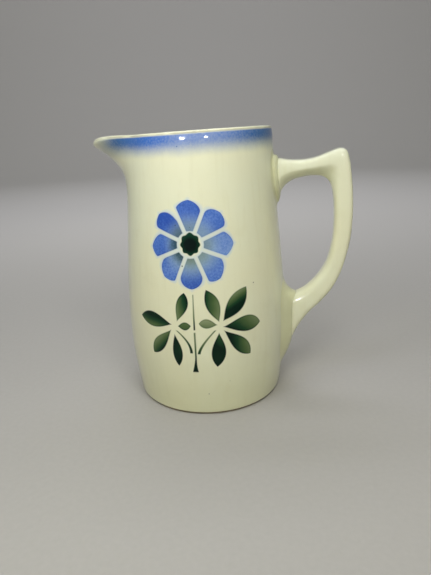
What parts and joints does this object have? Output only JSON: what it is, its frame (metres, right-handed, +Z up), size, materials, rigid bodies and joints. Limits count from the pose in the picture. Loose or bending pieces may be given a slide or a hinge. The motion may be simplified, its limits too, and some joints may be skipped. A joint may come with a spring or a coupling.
{
  "type": "ceramic pitcher",
  "caption": "Glazed ceramic pitcher with a tapering belly, a beaked spout, a square-shouldered loop handle and a stencilled flower spray.",
  "frame": {"origin": "on the body's axis, in the plane that the foot ring rests on", "axes": "+Z up along the body's axis; +X from the axis towards the handle, so the beak is on -X; the stencilled flower faces -Y"},
  "size_m": [0.1805, 0.1179, 0.1913],
  "materials": {
    "cream_glaze": "gloss",
    "bare_clay": "matte",
    "blue_colour": "gloss",
    "green_colour": "gloss",
    "olive_colour": "gloss"
  },
  "bodies": {
    "root": {"body_wall": "cream_glaze", "body_floor": "cream_glaze", "foot_ring": "bare_clay", "spout_lip": "cream_glaze", "handle": "cream_glaze", "upper_slip_joint": "cream_glaze", "lower_slip_joint": "cream_glaze", "rim_band": "blue_colour", "flower_petals": "blue_colour", "flower_centre": "green_colour", "main_stem": "olive_colour", "side_stems": "olive_colour", "left_leaves": "green_colour", "right_leaves": "green_colour"}
  },
  "joints": []
}
